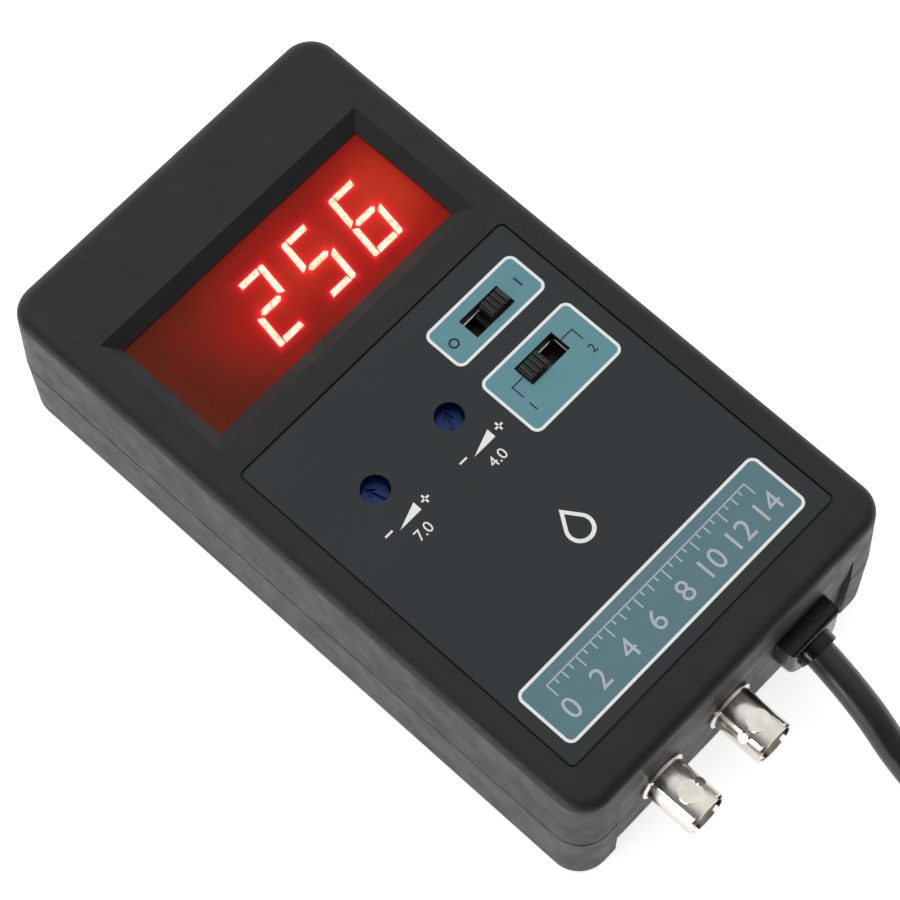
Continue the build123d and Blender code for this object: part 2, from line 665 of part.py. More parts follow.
def terminal_block():
    block = power_board_boxed(CORD_X, TERMINAL_Y, *TERMINAL_SIZE)
    top = POWER_BOARD_TOP_Z + TERMINAL_SIZE[2]
    for side in (-1, 1):
        block -= standing_cylinder(CORD_X + side * 3.5, TERMINAL_Y, top - 3, top + 1, 2.0)
    return block


def fuse():
    """Glass fuse lying in two clips."""
    x, y, z = -18.0, -36.0, POWER_BOARD_TOP_Z + 3.6
    tube = Pos(x, y, z) * Rot(0, 90, 0) * Cylinder(2.2, 14)
    caps = [Pos(x + side * 8.5, y, z) * Rot(0, 90, 0) * Cylinder(2.6, 3) for side in (-1, 1)]
    clips = [power_board_boxed(x + side * 8.5, y, 2.4, 6.4, 3.0) for side in (-1, 1)]
    return tube.fuse(*caps, *clips)


def smoothing_capacitors():
    cans = []
    for x, y, radius, height in ((-20.0, -16.0, 6.3, 14.0), (-20.0, 2.0, 6.3, 14.0), (-4.0, -24.0, 4.0, 10.0)):
        can = standing_cylinder(x, y, POWER_BOARD_TOP_Z, POWER_BOARD_TOP_Z + height, radius)
        can = fillet(can.edges().group_by(Axis.Z)[-1], 0.8)
        groove = Pos(x, y, POWER_BOARD_TOP_Z + 2) * Torus(radius + 0.2, 0.5)
        cans.append(can - groove)
    return group(cans)


def voltage_regulator():
    body = power_board_boxed(14.0, -8.0, 10.0, 4.4, 13.0)
    tab = boxed(14.0, -5.4, POWER_BOARD_TOP_Z + 3.5, 10.0, 1.2, 12.0)
    tab -= Pos(14.0, -5.4, POWER_BOARD_TOP_Z + 13.0) * Rot(90, 0, 0) * Cylinder(1.6, 4)
    return body - boxed(14.0, -6.8, POWER_BOARD_TOP_Z - 1, 12, 2.0, 20) + tab


TRANSFORMER = (0.0, 49.0)
CORE_SIZE = (41.0, 34.0, 13.0)
CORE_Z = 5.6
LIMB_WIDTH = 13.0
CORE_WINDOW = (7.0, 20.0)


def transformer_core():
    """Stack of E and I plates: two windows beside a middle limb."""
    x, y = TRANSFORMER
    core = boxed(x, y, CORE_Z, *CORE_SIZE)
    for side in (-1, 1):
        window_x = x + side * (LIMB_WIDTH + CORE_WINDOW[0]) / 2
        core -= boxed(window_x, y, CORE_Z - 1, *CORE_WINDOW, CORE_SIZE[2] + 2)
    return core


def transformer_winding():
    """The wound bobbin round the middle limb."""
    x, y = TRANSFORMER
    gap = 0.15
    width = LIMB_WIDTH + 2 * (CORE_WINDOW[0] - gap)
    height = CORE_SIZE[2] + 2 * 2.4
    coil = boxed(x, y, CORE_Z - 2.4, width, CORE_WINDOW[1] - 2 * gap, height)
    coil = fillet(coil.edges().filter_by(Axis.Y), 2.0)
    return coil - boxed(x, y, CORE_Z - gap, LIMB_WIDTH + 2 * gap, 40, CORE_SIZE[2] + 2 * gap)


def transformer_bracket():
    """Two steel feet that hold the core's ends off the floor."""
    x, y = TRANSFORMER
    feet = []
    for side in (-1, 1):
        foot = boxed(x, y + side * (CORE_SIZE[1] / 2 - 2.5), WALL, 30, 5, CORE_Z - WALL)
        foot -= boxed(x, y + side * (CORE_SIZE[1] / 2 - 2.5), WALL - 1, 22, 6, CORE_Z - WALL)
        feet.append(foot)
    return group(feet)


# ---- mains lead: exit, run to the coil, coil, plug ----
def cord_route():
    """Points of the run from the bushing to the coil; the coil's first turn goes on from the last."""
    floor = CORD_R
    return [
        CORD_START,
        CORD_START + EXIT_DIRECTION * 12.0,
        Vector(15.7, -99.7, 7.15),
        Vector(15.2, -113.2, floor),
        Vector(14.7, -127.0, floor),
        Vector(14.7, -140.5, floor),
    ]


def route_radii(points):
    """The largest arc that each corner has room for."""
    radii = []
    for before, here, after in zip(points, points[1:], points[2:]):
        turn = (here - before).get_angle(after - here)
        shorter = min((here - before).length, (after - here).length)
        radii.append(0.45 * shorter / tan(radians(turn / 2)))
    return radii


def mains_cord():
    points = cord_route()
    radii = route_radii(points)
    path = FilletPolyline(*points, radius=radii)
    tube = sweep(Plane(origin=path @ 0, z_dir=path % 0) * Circle(CORD_R), path=path)
    expected = pi * CORD_R**2 * path.length
    print("cord radii", [round(r, 1) for r in radii], "length", round(path.length, 1))
    print("cord volume over section times length", round(tube.volume / expected, 4))
    return tube


COIL_START = cord_route()[-1]
COIL_OUTER_MID_R = COIL_MEAN_R + (COIL_COLUMNS - 1) * CORD_R
COIL_INNER_R = COIL_MEAN_R - COIL_COLUMNS * CORD_R
COIL_OUTER_R = COIL_MEAN_R + COIL_COLUMNS * CORD_R
COIL_TOP = COIL_LAYERS * 2 * CORD_R
COIL_ENTRY = 24.5  # the cord comes alongside the coil this far before it joins its first turn
COIL_X = COIL_START.X - COIL_OUTER_MID_R
COIL_Y = COIL_START.Y - COIL_ENTRY

PLUG_THICKNESS = 13.7
PLUG_WIDTH = 34.0
PLUG_LENGTH = 34.0
PLUG_SLEEVE = 18.0
PLUG_PIN_R = 2.0
PLUG_PIN_LENGTH = 19.0
PLUG_PIN_PITCH = 18.6
PLUG_Z = COIL_TOP + PLUG_THICKNESS / 2 + 0.05


def mains_cord_coil():
    """The put-away length: a ring of turns, the cord joining it, and the last turn up to the plug."""
    ring = standing_cylinder(COIL_X, COIL_Y, 0, COIL_TOP, COIL_OUTER_R)
    ring -= standing_cylinder(COIL_X, COIL_Y, -1, COIL_TOP + 1, COIL_INNER_R)
    middle_y = COIL_START.Y - COIL_ENTRY / 2
    entry = Pos(COIL_START.X, middle_y, CORD_R) * Rot(90, 0, 0) * Cylinder(CORD_R, COIL_ENTRY)
    centre_offset = COIL_OUTER_MID_R - LAST_BEND_R
    bend_centre = (
        COIL_X + centre_offset * cos(radians(LAST_BEND_ANGLE)),
        COIL_Y + centre_offset * sin(radians(LAST_BEND_ANGLE)),
    )
    band = Pos(*bend_centre, COIL_TOP) * Rot(0, 0, LAST_BEND_ANGLE - 90) * bend_band()
    return group([ring + entry, band])


def bend_band():
    """A quarter ring as wide as the cord, from the coil's top to the top of the cord in the plug."""
    ring = Circle(LAST_BEND_R + CORD_R) - Circle(LAST_BEND_R - CORD_R)
    quarter = ring & Pos(LAST_BEND_R, LAST_BEND_R) * Rectangle(2 * LAST_BEND_R, 2 * LAST_BEND_R)
    return extrude(quarter, PLUG_Z + CORD_R - COIL_TOP)


def plug_plane():
    """At the end of the cord: local Z runs along the plug towards its pins, local Y is up."""
    side = radians(LAST_BEND_ANGLE - 90)
    centre_offset = COIL_OUTER_MID_R - LAST_BEND_R
    x = COIL_X + centre_offset * cos(radians(LAST_BEND_ANGLE)) + LAST_BEND_R * cos(side)
    y = COIL_Y + centre_offset * sin(radians(LAST_BEND_ANGLE)) + LAST_BEND_R * sin(side)
    heading = radians(LAST_BEND_ANGLE - 180)
    along = (cos(heading), sin(heading), 0)
    across = (sin(heading), -cos(heading), 0)
    return Plane(origin=(x, y, PLUG_Z), x_dir=across, z_dir=along)


def plug_body():
    """Moulded two-pin plug: ribbed sleeve for the cord, then a body that narrows to its pins."""
    sleeve = loft([Circle(4.2), Pos(0, 0, PLUG_SLEEVE) * Circle(5.4)])
    half = PLUG_WIDTH / 2
    shape = [(-6.5, 0), (6.5, 0), (half, 12), (half, 24), (half - 3, PLUG_LENGTH), (3 - half, PLUG_LENGTH)]
    shape += [(-half, 24), (-half, 12)]
    flat = make_face(Polyline(*[(x, 0, z) for x, z in shape], close=True))
    body = Pos(0, 0, PLUG_SLEEVE) * extrude(flat, PLUG_THICKNESS / 2, dir=(0, 1, 0), both=True)
    body = fillet(body.edges().filter_by(GeomType.LINE), 1.4)
    for step in range(4):
        rib = Pos(0, 0, 3.0 + 3.6 * step)
        sleeve -= rib * (Cylinder(8, 0.9) - Cylinder(3.9 + 0.25 * step, 2))
    return plug_plane() * (sleeve + body)


def plug_pins():
    start = PLUG_SLEEVE + PLUG_LENGTH
    made = []
    for side in (-1, 1):
        pin = Pos(side * PLUG_PIN_PITCH / 2, 0, start + PLUG_PIN_LENGTH / 2) * Cylinder(PLUG_PIN_R, PLUG_PIN_LENGTH)
        pin = fillet(pin.edges().group_by(Axis.Z)[-1], 1.2)
        made.append(plug_plane() * pin)
    return group(made)


def build():
    nodes = {
        "top_cover": top_cover(),
        "bottom_cover": bottom_cover(),
        "housing_screws": housing_screws(),
        "front_label": front_label(),
        "display_window": display_window(),
        "lit_segments": segments(True),
        "unlit_segments": segments(False),
        "display_board": board(DISPLAY_BOARD, WINDOW_Y, BOARD_TOP_Z, DISPLAY_BOSSES),
        "display_board_screws": board_screws(DISPLAY_BOSSES, BOARD_BOTTOM_Z),
        "control_board": board(
            CONTROL_BOARD,
            CONTROL_BOARD_Y,
            BOARD_TOP_Z,
            CONTROL_BOSSES,
            switch_pin_points() + trimmer_pin_points(),
        ),
        "control_board_screws": board_screws(CONTROL_BOSSES, BOARD_BOTTOM_Z),
        "converter_chip": chip_body(*CONVERTER),
        "amplifier_chips": group(chip_body(*chip) for chip in AMPLIFIERS),
        "chip_legs": chip_legs(),
        "board_ribbon": board_ribbon(),
        "switch_pins": pins(switch_pin_points(), BOARD_BOTTOM_Z - 1.2),
        "trimmer_pins": pins(trimmer_pin_points(), BOARD_BOTTOM_Z - 1.2),
        "jack_leads": jack_leads(),
        "cord_bushing": cord_bushing(),
        "cord_tail": cord_tail(),
        "mains_wires": mains_wires(),
        "mains_cord": mains_cord(),
        "mains_cord_coil": mains_cord_coil(),
        "plug_body": plug_body(),
        "plug_pins": plug_pins(),
        "power_board": board(POWER_BOARD, POWER_BOARD_Y, POWER_BOARD_TOP_Z, POWER_POSTS),
        "power_board_screws": group(
            standing_cylinder(x, y, WALL + 0.2, POWER_BOARD_TOP_Z, BOARD_SCREW_R)
            + standing_cylinder(x, y, POWER_BOARD_TOP_Z, POWER_BOARD_TOP_Z + 1.4, 2.2)
            for x, y in POWER_POSTS
        ),
        "terminal_block": terminal_block(),
        "fuse": fuse(),
        "smoothing_capacitors": smoothing_capacitors(),
        "voltage_regulator": voltage_regulator(),
        "transformer_core": transformer_core(),
        "transformer_winding": transformer_winding(),
        "transformer_bracket": transformer_bracket(),
    }
    for index in range(len(READING)):
        nodes[f"display_digit_{index + 1}"] = display_digit(index)
    # The power switch rests at its ON end (+X), the mode switch at its pH end (-X).
    for name, (x, y), rest in (("power_switch", POWER_SWITCH, 1), ("mode_switch", MODE_SWITCH, -1)):
        knob_x = x + rest * SWITCH_TRAVEL / 2
        nodes[f"{name}_base"] = switch_base(x, y)
        nodes[f"{name}_frame"] = switch_frame(x, y)
        nodes[f"{name}_knob"] = switch_knob(knob_x, y)
        nodes[f"{name}_contact"] = switch_contact(knob_x, y)
    trimmers = (("cal_trimmer", CAL_TRIMMER, CAL_HEADING), ("slope_trimmer", SLOPE_TRIMMER, SLOPE_HEADING))
    for name, (x, y), heading in trimmers:
        nodes[f"{name}_body"] = trimmer_body(x, y)
        nodes[f"{name}_rotor"] = trimmer_rotor(x, y, heading)
    for name, x in JACKS.items():
        nodes[f"{name}_shell"] = jack_shell(x, LUG_TURNS[name])
        nodes[f"{name}_insulator"] = jack_insulator(x)
        nodes[f"{name}_contact"] = jack_contact(x)
        nodes[f"{name}_washer"] = jack_washer(x)
        nodes[f"{name}_nut"] = jack_nut(x)
    return nodes


os.makedirs("parts", exist_ok=True)
for node, shape in build().items():
    export_step(shape, f"parts/{node}.step")
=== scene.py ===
"""Looks of the pH monitor: camera, lead, printed front, display, plastics and metals.

Metres, in the CAD frame: +Z up, +Y towards the display end, +X across the front panel.
"""
import json
from math import cos, pi, radians, sin

import bmesh
import bpy
from mathutils import Matrix, Vector


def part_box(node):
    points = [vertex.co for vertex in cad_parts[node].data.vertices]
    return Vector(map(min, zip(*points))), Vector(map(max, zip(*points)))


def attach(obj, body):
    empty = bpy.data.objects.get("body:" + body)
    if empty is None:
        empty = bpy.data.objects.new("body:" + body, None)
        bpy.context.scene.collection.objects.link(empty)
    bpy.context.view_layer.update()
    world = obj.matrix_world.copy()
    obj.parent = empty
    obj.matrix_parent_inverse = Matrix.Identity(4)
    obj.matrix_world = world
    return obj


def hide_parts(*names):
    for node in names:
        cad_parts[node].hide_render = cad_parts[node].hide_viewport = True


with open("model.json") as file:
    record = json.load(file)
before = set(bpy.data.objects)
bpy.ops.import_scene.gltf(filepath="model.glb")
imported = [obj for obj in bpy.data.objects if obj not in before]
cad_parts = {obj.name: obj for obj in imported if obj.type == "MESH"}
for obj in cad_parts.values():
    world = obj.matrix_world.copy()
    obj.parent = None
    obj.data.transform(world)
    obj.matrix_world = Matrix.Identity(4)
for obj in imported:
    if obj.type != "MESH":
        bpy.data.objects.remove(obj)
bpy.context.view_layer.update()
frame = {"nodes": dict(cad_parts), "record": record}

MM = 0.001
SCENE = bpy.context.scene
NODES = frame["nodes"]


# ---- camera: looks down on the front panel from the input end's left corner ----
CAMERA_AT = Vector((-0.19483, -0.19226, 0.66243))
CAMERA_TARGET = Vector((0.00648, 0.00992, 0.0))
CAMERA_ROLL = -2.1  # degrees
CAMERA_LENS = 144.0


def add_camera():
    data = bpy.data.cameras.new("camera")
    data.lens = CAMERA_LENS
    data.sensor_width = 36.0
    camera = bpy.data.objects.new("camera", data)
    SCENE.collection.objects.link(camera)
    look = (CAMERA_TARGET - CAMERA_AT).to_track_quat("-Z", "Y").to_matrix()
    rotation = look @ Matrix.Rotation(radians(CAMERA_ROLL), 3, "Z")
    camera.matrix_world = Matrix.Translation(CAMERA_AT) @ rotation.to_4x4()
    SCENE.camera = camera


# ---- mains lead ----
CORD_R = 3.25 * MM
CORD_EXIT = Vector((17.93, -75.85, 18.84)) * MM
CORD_ROUTE = [  # the free stretch, from the bushing to the coil
    CORD_EXIT,
    Vector((17.33, -87.37, 15.53)) * MM,
    Vector((15.7, -99.7, 7.15)) * MM,
    Vector((15.2, -113.2, 3.25)) * MM,
    Vector((14.7, -127.0, 3.25)) * MM,
    Vector((14.7, -140.5, 3.25)) * MM,
]
COIL_MIDDLE = Vector((-27.8, -165.0, 0.0)) * MM
COIL_COLUMN_R = [42.5 * MM, 36.0 * MM, 29.5 * MM]
COIL_LAYER_Z = [3.25 * MM, 9.75 * MM]
POINTS_A_TURN = 24
CROSSING_SHARE = 0.3  # the last part of a turn, where the cord steps over to its next place
CLIMB_DIP = 2.7 * MM  # how far the cord swings inwards round its climb to the second layer
CLIMB_DIP_REACH = 0.35  # of a turn, each way
TIE_STEP = 2  # the point of each turn that the tie goes round
TIE_LIFT = 0.5 * MM  # the turns lie on the tie there
TIE_WIDTH = 5.0 * MM
TIE_THICKNESS = 0.4 * MM
TIE_TURN = TIE_STEP / POINTS_A_TURN
TIE_SLACK_INSIDE = 0.2 * MM  # between the strap and the cord, on each side of the coil's section
TIE_SLACK_OUTSIDE = 0.05 * MM
TIE_SLACK_BELOW = 0.05 * MM
TIE_SLACK_ABOVE = 0.1 * MM
LAST_BEND_R = 29.0 * MM
LAST_BEND_STEPS = 6  # over a quarter turn
LAST_TURN_SHARE = 0.25  # of a turn on the coil's outer edge, before the bend into the plug
CLIMB_START = 0.1  # of a turn, where the cord starts to rise to the plug


def smooth(share):
    """An even rise from 0 to 1 that starts and ends gently."""
    share = min(max(share, 0.0), 1.0)
    return share * share * (3 - 2 * share)


def coil_places():
    """Radius and height of each whole turn: inwards along the floor, then outwards on top."""
    bottom, top = COIL_LAYER_Z
    inwards = [(radius, bottom) for radius in COIL_COLUMN_R]
    return inwards + [(radius, top) for radius in reversed(COIL_COLUMN_R)]


def on_coil(turn, radius, z):
    """A control point of the wound cord. The spline passes inside its points, so they stand out a little."""
    angle = -2 * pi * turn
    reach = radius / cos(pi / POINTS_A_TURN)
    return COIL_MIDDLE + Vector((reach * cos(angle), reach * sin(angle), z))


def climb_dip(turn):
    """How far inwards the cord swings at a turn, to climb on a wider bend."""
    middle = len(COIL_COLUMN_R) - CROSSING_SHARE / 2
    away = min(abs(turn - middle) / CLIMB_DIP_REACH, 1.0)
    return CLIMB_DIP * cos(pi / 2 * away) ** 2


def tie_lift(step):
    """Height that the tie under the coil adds to the cord at that step of a turn."""
    return TIE_LIFT if abs(step - TIE_STEP) <= 1 else 0.0


def coil_points():
    """Control points of the coil's whole turns."""
    places = coil_places()
    points = []
    whole_turns = len(places) - 1
    for index in range(whole_turns):
        (radius, z), (next_radius, next_z) = places[index], places[index + 1]
        for step in range(POINTS_A_TURN):
            share = step / POINTS_A_TURN
            crossing = smooth((share - 1 + CROSSING_SHARE) / CROSSING_SHARE)
            reach = radius + (next_radius - radius) * crossing - climb_dip(index + share)
            points.append(on_coil(share, reach, z + (next_z - z) * crossing + tie_lift(step)))
    return points


def last_bend_points(plug_z):
    """A part turn on the outer edge, then the tighter bend, climbing all the way to the plug on top."""
    radius, z = coil_places()[-1]
    steps = round(POINTS_A_TURN * LAST_TURN_SHARE)
    turn_length = 2 * pi * radius * (LAST_TURN_SHARE - CLIMB_START)
    climb_length = turn_length + LAST_BEND_R * pi / 2

    def height(climbed):
        return z + (plug_z - z) * smooth(climbed / climb_length)

    points = []
    for step in range(steps):
        middle_step = step + 0.5  # so that the turn ends halfway between two points, where the bend starts
        turn = middle_step / POINTS_A_TURN
        climbed = 2 * pi * radius * (turn - CLIMB_START)
        points.append(on_coil(turn, radius, height(climbed) + tie_lift(middle_step)))
    start = -2 * pi * LAST_TURN_SHARE
    middle = COIL_MIDDLE + (radius - LAST_BEND_R) * Vector((cos(start), sin(start), 0.0))
    half_step = pi / 4 / LAST_BEND_STEPS
    reach_between = LAST_BEND_R / cos(half_step)
    bends = [((2 * step + 1) * half_step, reach_between) for step in range(LAST_BEND_STEPS)]
    for turned, reach in bends + [(pi / 2, LAST_BEND_R)]:
        point = middle + reach * Vector((cos(start - turned), sin(start - turned), 0.0))
        point.z = height(turn_length + LAST_BEND_R * turned)
        points.append(point)
    return points


def tie_rings():
    """The strap's four closed edges, in order round its own section."""
    inner = COIL_COLUMN_R[-1] - CORD_R - climb_dip(len(COIL_COLUMN_R) + TIE_TURN) - TIE_SLACK_INSIDE
    outer = COIL_COLUMN_R[0] + CORD_R + TIE_SLACK_OUTSIDE
    low = TIE_LIFT - TIE_SLACK_BELOW
    high = COIL_LAYER_Z[-1] + CORD_R + TIE_LIFT + TIE_SLACK_ABOVE
    middle = Vector(((inner + outer) / 2, (low + high) / 2))
    place = Matrix.Translation(COIL_MIDDLE) @ Matrix.Rotation(-2 * pi * TIE_TURN, 4, "Z")
    rings = []
    for side, grow in ((-1, 0.0), (-1, TIE_THICKNESS), (1, TIE_THICKNESS), (1, 0.0)):
        size = (outer - inner + 2 * grow, high - low + 2 * grow)
        section = rounded_box(middle, size, CORD_R + grow)
        rings.append([place @ Vector((point.x, side * TIE_WIDTH / 2, point.y)) for point in section])
    return rings


def ring_faces(ring_count, point_count):
    """Faces that join each ring of points to the next one, and the last to the first."""
    faces = []
    for ring in range(ring_count):
        next_ring = (ring + 1) % ring_count
        for step in range(point_count):
            next_step = (step + 1) % point_count
            corners = ((ring, step), (next_ring, step), (next_ring, next_step), (ring, next_step))
            faces.append([index * point_count + at for index, at in corners])
    return faces


def add_tie():
    """A flat strap closed round the coil's section."""
    rings = tie_rings()
    mesh = bpy.data.meshes.new("lead_tie")
    mesh.from_pydata([point for ring in rings for point in ring], [], ring_faces(len(rings), len(rings[0])))
    shape = bmesh.new()
    shape.from_mesh(mesh)
    bmesh.ops.recalc_face_normals(shape, faces=shape.faces)
    shape.to_mesh(mesh)
    shape.free()
    tie = bpy.data.objects.new("lead_tie", mesh)
    SCENE.collection.objects.link(tie)
    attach(tie, "housing")
    return tie


def add_cord():
    plug_low, plug_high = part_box("plug_body")
    points = CORD_ROUTE + coil_points() + last_bend_points((plug_low.z + plug_high.z) / 2)
    curve = bpy.data.curves.new("mains_lead", "CURVE")
    curve.dimensions = "3D"
    curve.bevel_depth = 1.0  # times each point's radius, which then also gives the right bounds
    curve.bevel_resolution = 8
    curve.resolution_u = 6
    spline = curve.splines.new("NURBS")
    spline.points.add(len(points) - 1)
    for control, point in zip(spline.points, points):
        control.co = (*point, 1.0)
        control.radius = CORD_R
    spline.order_u = 3
    spline.use_endpoint_u = True
    cord = bpy.data.objects.new("mains_lead", curve)
    SCENE.collection.objects.link(cord)
    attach(cord, "housing")
    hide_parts("mains_cord", "mains_cord_coil")
    return cord


# ---- material building blocks ----
EVEN = (1.0, 1.0, 1.0)  # no stretch along any axis
NOISE_RANGE = (0.3, 0.7)  # most of a noise lies in here


class Surface:
    """A material and short ways to wire it. Sizes of grain and pattern are in metres."""

    def __init__(self, name, colour, roughness, metallic=0.0):
        self.material = bpy.data.materials.new(name)
        self.material.use_nodes = True
        self.tree = self.material.node_tree
        self.shader = self.tree.nodes["Principled BSDF"]
        self.shader.inputs["Metallic"].default_value = metallic
        self.shader.inputs["Roughness"].default_value = roughness
        self.shader.inputs["Base Color"].default_value = (*colour, 1.0)
        self.colour = colour
        self.height = None
        self.place = self.node("ShaderNodeTexCoord").outputs["Object"]

    def node(self, kind, **settings):
        made = self.tree.nodes.new(kind)
        for key, value in settings.items():
            setattr(made, key, value)
        return made

    def link(self, source, target):
        self.tree.links.new(source, target)

    def math(self, operation, first, second=None):
        made = self.node("ShaderNodeMath", operation=operation)
        for socket, value in zip(made.inputs, (first, second)):
            if isinstance(value, (int, float)):
                socket.default_value = value
            elif value is not None:
                self.link(value, socket)
        return made.outputs[0]

    def vector(self, operation, first, second=None):
        made = self.node("ShaderNodeVectorMath", operation=operation)
        for socket, value in zip(made.inputs, (first, second)):
            if isinstance(value, (tuple, Vector)):
                socket.default_value = value
            elif value is not None:
                self.link(value, socket)
        return made.outputs["Value" if operation == "LENGTH" else "Vector"]

    def noise(self, size, detail=3.0, stretch=EVEN):
        """Noise with features about that large, drawn out along an axis where stretch is above 1."""
        place = self.place
        if stretch != EVEN:
            place = self.vector("DIVIDE", place, Vector(stretch))
        made = self.node("ShaderNodeTexNoise")
        made.inputs["Scale"].default_value = 1.0 / size
        made.inputs["Detail"].default_value = detail
        self.link(place, made.inputs["Vector"])
        return made.outputs["Fac"]

    def cells(self, size):
        """Distance from the middle of soft-edged cells about that large."""
        made = self.node("ShaderNodeTexVoronoi", feature="SMOOTH_F1")
        made.inputs["Scale"].default_value = 1.0 / size
        self.link(self.place, made.inputs["Vector"])
        return made.outputs["Distance"]

    def between(self, value, low, high, to_low=0.0, to_high=1.0):
        """A value from low to high, carried over to the range from to_low to to_high."""
        made = self.node("ShaderNodeMapRange")
        for name, number in (("From Min", low), ("From Max", high), ("To Min", to_low), ("To Max", to_high)):
            made.inputs[name].default_value = number
        self.link(value, made.inputs["Value"])
        return made.outputs["Result"]

    def ramp(self, value, stops):
        """Colours along a value from 0 to 1. stops are (position, colour)."""
        made = self.node("ShaderNodeValToRGB")
        elements = made.color_ramp.elements
        while len(elements) < len(stops):
            elements.new(0.5)
        for element, (position, colour) in zip(elements, stops):
            element.position = position
            element.color = (*colour, 1.0)
        self.link(value, made.inputs["Fac"])
        return made.outputs["Color"]

    def vary_colour(self, size, amount, detail=3.0):
        """Lighter and darker patches of the base colour."""
        darker = tuple(c * (1 - amount) for c in self.colour)
        lighter = tuple(min(c * (1 + amount), 1.0) for c in self.colour)
        noise_low, noise_high = NOISE_RANGE
        colours = self.ramp(self.noise(size, detail), [(noise_low, darker), (noise_high, lighter)])
        self.link(colours, self.shader.inputs["Base Color"])

    def vary_roughness(self, size, low, high, stretch=EVEN):
        value = self.between(self.noise(size, 4.0, stretch), *NOISE_RANGE, low, high)
        self.link(value, self.shader.inputs["Roughness"])

    def bump(self, height, depth):
        """Adds relief of about that depth on top of what is there."""
        made = self.node("ShaderNodeBump")
        made.inputs["Distance"].default_value = depth
        self.link(height, made.inputs["Height"])
        if self.height is not None:
            self.link(self.height, made.inputs["Normal"])
        self.height = made.outputs["Normal"]
        self.link(self.height, self.shader.inputs["Normal"])

    def set(self, name, value):
        self.shader.inputs[name].default_value = value


# ---- materials ----
def housing_plastic():
    """Charcoal ABS with a fine spark-eroded grain."""
    s = Surface("housing_plastic", (0.0128, 0.0128, 0.0132), 0.5)
    s.vary_colour(9 * MM, 0.12)
    s.vary_roughness(5 * MM, 0.42, 0.56)
    s.bump(s.cells(0.42 * MM), 0.045 * MM)
    s.bump(s.noise(0.16 * MM, 2.0), 0.035 * MM)
    s.set("Specular IOR Level", 0.32)
    return s.material


def label_film():
    """Printed polyester overlay: satin, with the faint pebble of a screen-printed back."""
    s = Surface("label_film", (0.0115, 0.0172, 0.0198), 0.42)
    s.vary_colour(30 * MM, 0.06, 2.0)
    s.vary_roughness(8 * MM, 0.36, 0.46)
    s.bump(s.noise(0.25 * MM, 2.0), 0.004 * MM)
    s.bump(s.noise(6 * MM, 2.0), 0.02 * MM)
    s.set("Specular IOR Level", 0.4)
    return s.material


def print_ink(name, colour):
    """Screen-printed ink: even, slightly matt, with a trace of the mesh."""
    s = Surface(name, colour, 0.5)
    s.vary_colour(3 * MM, 0.03)
    s.vary_roughness(2 * MM, 0.42, 0.56)
    s.bump(s.noise(0.2 * MM, 2.0), 0.004 * MM)
    s.set("Specular IOR Level", 0.35)
    return s.material


def smooth_plastic(name, colour, low, high, grain=0.3 * MM, depth=0.006 * MM, gloss=0.5):
    """Moulded plastic. low and high are the ends of its roughness, grain and depth the size and relief
    of its surface, and gloss is how strongly it reflects, 0.5 being usual."""
    s = Surface(name, colour, (low + high) / 2)
    s.vary_colour(4 * MM, 0.12)
    s.vary_roughness(2.5 * MM, low, high)
    s.bump(s.noise(grain, 3.0), depth)
    s.set("Specular IOR Level", gloss)
    return s.material


def metal(name, colour, low, high, stretch=EVEN, depth=0.004 * MM, tarnish=0.1):
    """Plated or bare metal, with fine draw marks along an axis where stretch is above 1."""
    s = Surface(name, colour, (low + high) / 2, metallic=1.0)
    s.vary_colour(2.5 * MM, tarnish)
    s.vary_roughness(1.2 * MM, low, high, stretch)
    s.bump(s.noise(0.15 * MM, 3.0, stretch), depth)
    return s.material


def circuit_board():
    """Green solder resist over faint copper tracks."""
    green = (0.012, 0.09, 0.03)
    s = Surface("circuit_board", green, 0.35)
    tracks = s.node("ShaderNodeTexBrick")
    tracks.inputs["Scale"].default_value = 1 / (5 * MM)
    tracks.inputs["Mortar Size"].default_value = 0.06
    tracks.inputs["Color1"].default_value = (*green, 1.0)
    tracks.inputs["Color2"].default_value = (0.01, 0.075, 0.026, 1.0)
    tracks.inputs["Mortar"].default_value = (0.035, 0.17, 0.05, 1.0)
    s.link(s.place, tracks.inputs["Vector"])
    s.link(tracks.outputs["Color"], s.shader.inputs["Base Color"])
    s.bump(tracks.outputs["Fac"], 0.03 * MM)
    s.vary_roughness(1.5 * MM, 0.28, 0.42)
    return s.material


def banded(name, first, second, pitch, along, roughness):
    """Stripes across an axis: ribbon cable cores, laminations or turns of winding."""
    s = Surface(name, first, roughness)
    wave = s.node("ShaderNodeTexWave", wave_type="BANDS", bands_direction=along)
    wave.inputs["Scale"].default_value = pi / (10 * pitch)
    wave.inputs["Distortion"].default_value = 0.3
    s.link(s.place, wave.inputs["Vector"])
    s.link(s.ramp(wave.outputs["Fac"], [(0.25, second), (0.75, first)]), s.shader.inputs["Base Color"])
    s.bump(wave.outputs["Fac"], 0.25 * pitch)
    s.vary_roughness(2 * MM, roughness * 0.85, roughness * 1.15)
    return s.material


# ---- display ----
CHARACTER_SLANT = 0.1584  # sideways for each step up
# painted light on the red filter: its painted lit colour, its dull colour at the edges, its painted hotspot
# and the strength of its painted glow
FILTER_PAINTED_LIGHT = (0.4, 0.011, 0.006)
FILTER_DULL = (0.15, 0.017, 0.006)
FILTER_PAINTED_HOTSPOT = (0.6, 0.035, 0.012)
FILTER_PAINTED_GLOW = 0.26
PAINTED_READING_LIGHT_REACH = (40 * MM, 20 * MM)  # of the painted bright patch round the reading
PAINTED_END_LIGHT = Vector((21 * MM, 1 * MM, 0.0))  # a second painted bright patch, placed from the middle of the reading
PAINTED_END_LIGHT_REACH = (13 * MM, 20 * MM)
PAINTED_END_LIGHT_SHARE = 0.75
HALO_WIDTH = 0.45 * MM  # the distance over which the light falls to about a third
HALO_GLOW = 5.0
SPILL_WIDTH = 8 * HALO_WIDTH
FACE_GLOW = 0.22
HALO_COLOUR = (1.0, 0.008, 0.035, 1.0)
SEGMENT_GLOW = 7.0


